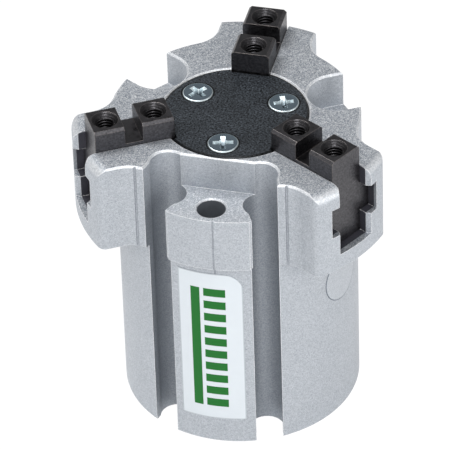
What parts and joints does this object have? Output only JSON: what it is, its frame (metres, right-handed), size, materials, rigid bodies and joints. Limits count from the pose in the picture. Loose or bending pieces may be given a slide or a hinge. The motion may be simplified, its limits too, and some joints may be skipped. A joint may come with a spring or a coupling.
{
  "type": "three-finger pneumatic gripper",
  "caption": "Round pneumatic gripper with fingers that slide outward along guide arms, driven by a piston and a wedge cam; bolt holes, locating recess and air ports.",
  "frame": {"origin": "centre of the mounting holes on the base's bottom face", "axes": "+Z along the cylinder axis towards the fingers, -Y towards the front lug with the label"},
  "size_m": [0.0732, 0.0672, 0.0814],
  "materials": {
    "cast_body": "shot-blasted and anodised, machined faces",
    "end_plate": "dark coated steel sheet, semi-gloss",
    "zinc_screws": "bright zinc plate",
    "fingers": "blackened ground steel",
    "hardened_steel": "ground, hardened",
    "black_bolt": "black oxide",
    "rod_chrome": "hard chrome, ground",
    "turned_aluminium": "turned",
    "plain_steel": "zinc plate",
    "spring_steel": "phosphated spring steel",
    "seal_rubber": "nitrile rubber",
    "bumper": "cast polyurethane",
    "magnet": "plastic-bonded magnet",
    "wear_ring": "acetal",
    "bronze": "sintered bronze",
    "label": "printed vinyl sticker"
  },
  "bodies": {
    "housing": {"body": "cast_body", "end_plate": "end_plate", "plate_screw_front": "zinc_screws", "plate_screw_left": "zinc_screws", "plate_screw_right": "zinc_screws", "end_cap": "turned_aluminium", "seal_retainer": "plain_steel", "retaining_ring": "spring_steel", "rod_seal": "seal_rubber", "end_cap_oring": "seal_rubber", "rod_bush": "bronze", "label": "label"},
    "piston_and_cam": {"piston": "turned_aluminium", "piston_rod": "rod_chrome", "piston_nut": "plain_steel", "piston_seal": "seal_rubber", "magnet_ring": "magnet", "wear_ring": "wear_ring", "upper_bumper": "bumper", "lower_bumper": "bumper", "wedge_cam": "hardened_steel", "cam_bolt": "black_bolt"},
    "back_jaw": {"finger_back": "fingers"},
    "left_jaw": {"finger_left": "fingers"},
    "right_jaw": {"finger_right": "fingers"}
  },
  "joints": [
    {"name": "piston_stroke", "type": "slide", "parent": "housing", "child": "piston_and_cam", "axis": [0, 0, 1], "range_m": [0, 0.014]},
    {"name": "back_jaw_slide", "type": "slide", "parent": "housing", "child": "back_jaw", "axis": [0, 1, 0], "range_m": [0, 0.008]},
    {"name": "left_jaw_slide", "type": "slide", "parent": "housing", "child": "left_jaw", "axis": [-0.866, -0.5, 0], "range_m": [0, 0.008]},
    {"name": "right_jaw_slide", "type": "slide", "parent": "housing", "child": "right_jaw", "axis": [0.866, -0.5, 0], "range_m": [0, 0.008]}
  ],
  "couplings": [
    {"joint": "back_jaw_slide", "follows": "piston_stroke", "ratio": 0.5714},
    {"joint": "left_jaw_slide", "follows": "piston_stroke", "ratio": 0.5714},
    {"joint": "right_jaw_slide", "follows": "piston_stroke", "ratio": 0.5714}
  ]
}
